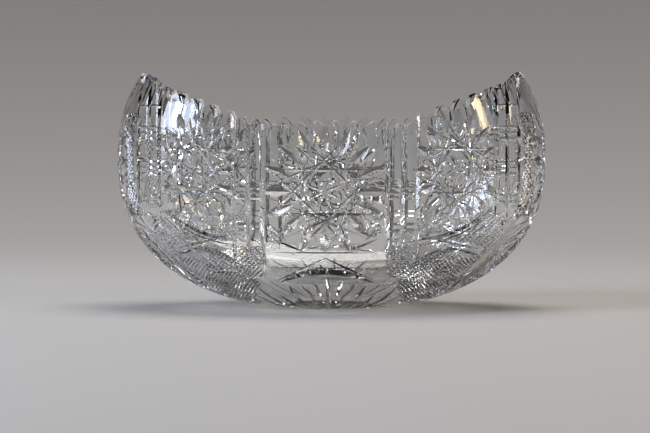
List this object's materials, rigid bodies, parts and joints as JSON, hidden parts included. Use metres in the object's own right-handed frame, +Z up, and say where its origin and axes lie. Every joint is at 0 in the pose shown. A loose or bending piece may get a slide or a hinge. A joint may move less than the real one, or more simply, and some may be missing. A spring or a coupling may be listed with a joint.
{
  "type": "punch bowl",
  "caption": "Long boat-shaped bowl of cut lead crystal with a saddle-shaped toothed rim, hobstar panels between paired straps and a small flat base.",
  "frame": {"origin": "centre of the flat base, on the table", "axes": "+X along the bowl's length, +Y across it towards the back, +Z up"},
  "size_m": [0.3032, 0.168, 0.1664],
  "materials": {
    "crystal": "polished clear lead crystal, cut facets polished, base ground"
  },
  "bodies": {
    "root": {"bowl": "crystal"}
  },
  "joints": []
}
